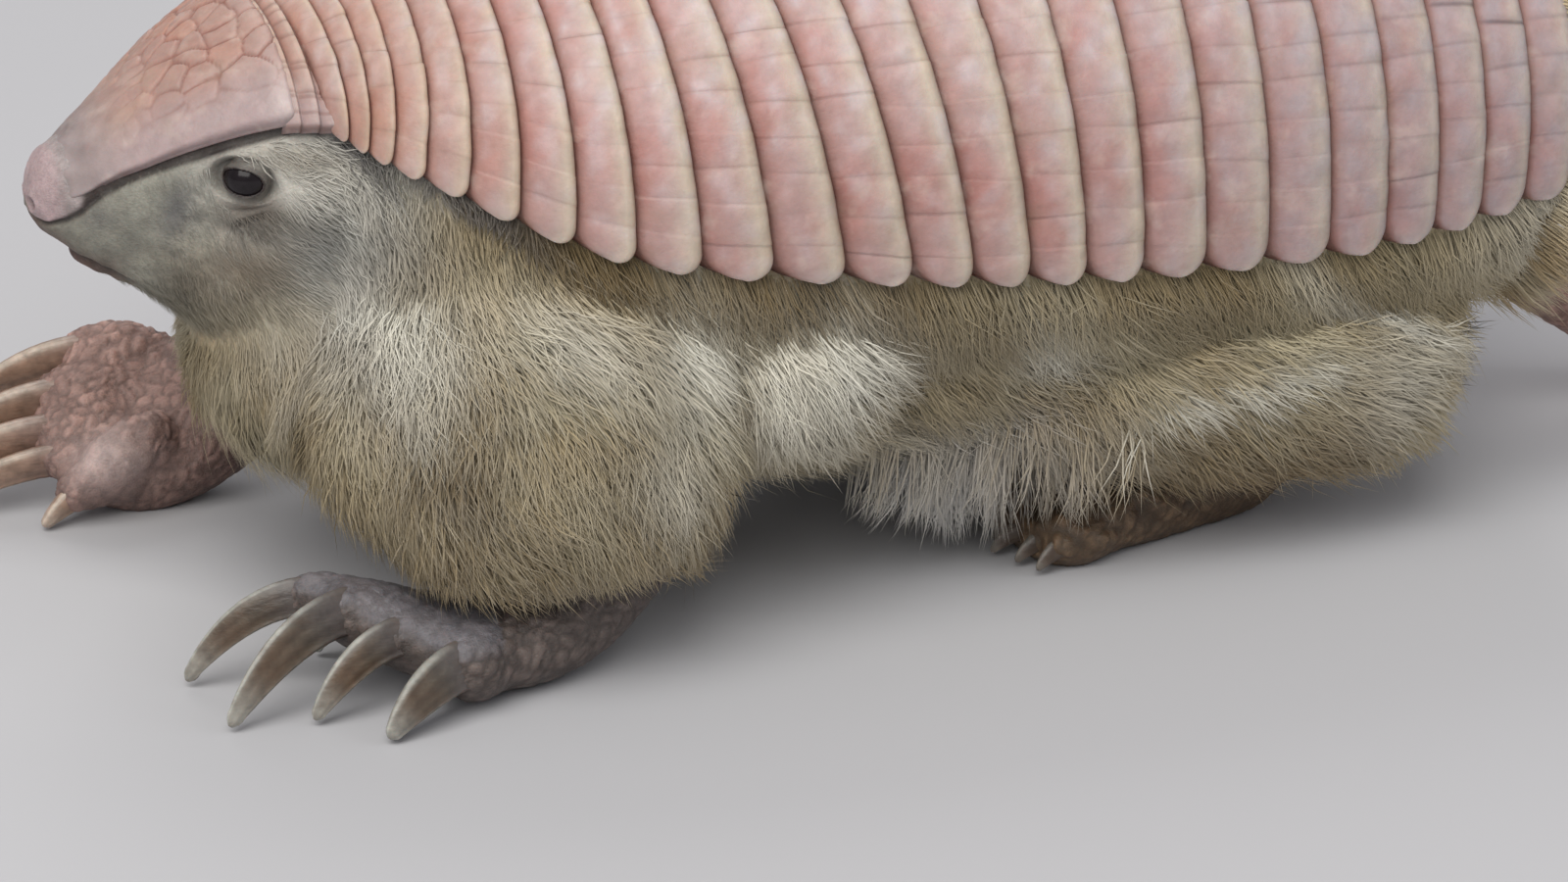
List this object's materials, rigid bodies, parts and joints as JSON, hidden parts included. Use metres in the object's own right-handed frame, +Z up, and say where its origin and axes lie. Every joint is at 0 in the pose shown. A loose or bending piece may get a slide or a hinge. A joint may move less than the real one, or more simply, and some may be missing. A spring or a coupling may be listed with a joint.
{
  "type": "pink fairy armadillo model",
  "caption": "Life-size standing pink fairy armadillo: banded pink shell over long pale fur, head shield, digging claws, upright rump plate and spade-tipped tail.",
  "frame": {"origin": "on the floor, under the middle of the animal's bounding box", "axes": "+Z up; the nose points along -X and the tail along +X; the animal's left side faces -Y and its right side +Y"},
  "size_m": [0.138, 0.0546, 0.0485],
  "materials": {
    "fur": "long soft fur, dull",
    "short_fur": "short flat fur, dull",
    "shell": "horny scutes, soft sheen",
    "scaly_skin": "small hard scales, dull",
    "claw": "horn, half gloss",
    "eye": "wet, glossy"
  },
  "bodies": {
    "root": {"ear_left": "short_fur", "ear_right": "short_fur", "eye_left": "eye", "eye_right": "eye", "foreclaw_left_1": "claw", "foreclaw_left_2": "claw", "foreclaw_left_3": "claw", "foreclaw_left_4": "claw", "foreclaw_left_5": "claw", "foreclaw_right_1": "claw", "foreclaw_right_2": "claw", "foreclaw_right_3": "claw", "foreclaw_right_4": "claw", "foreclaw_right_5": "claw", "forefoot_left": "scaly_skin", "forefoot_right": "scaly_skin", "foreleg_left": "fur", "foreleg_right": "fur", "head": "short_fur", "head_shield": "shell", "hindfoot_left": "scaly_skin", "hindfoot_right": "scaly_skin", "hindleg_left": "fur", "hindleg_right": "fur", "neck": "fur", "rump_shield": "shell", "shell_band_01": "shell", "shell_band_02": "shell", "shell_band_03": "shell", "shell_band_04": "shell", "shell_band_05": "shell", "shell_band_06": "shell", "shell_band_07": "shell", "shell_band_08": "shell", "shell_band_09": "shell", "shell_band_10": "shell", "shell_band_11": "shell", "shell_band_12": "shell", "shell_band_13": "shell", "shell_band_14": "shell", "shell_band_15": "shell", "shell_band_16": "shell", "shell_band_17": "shell", "shell_band_18": "shell", "shell_band_19": "shell", "shell_band_20": "shell", "shell_band_21": "shell", "shell_band_22": "shell", "shell_band_23": "shell", "shell_band_24": "shell", "tail": "scaly_skin", "trunk": "fur"}
  },
  "joints": []
}
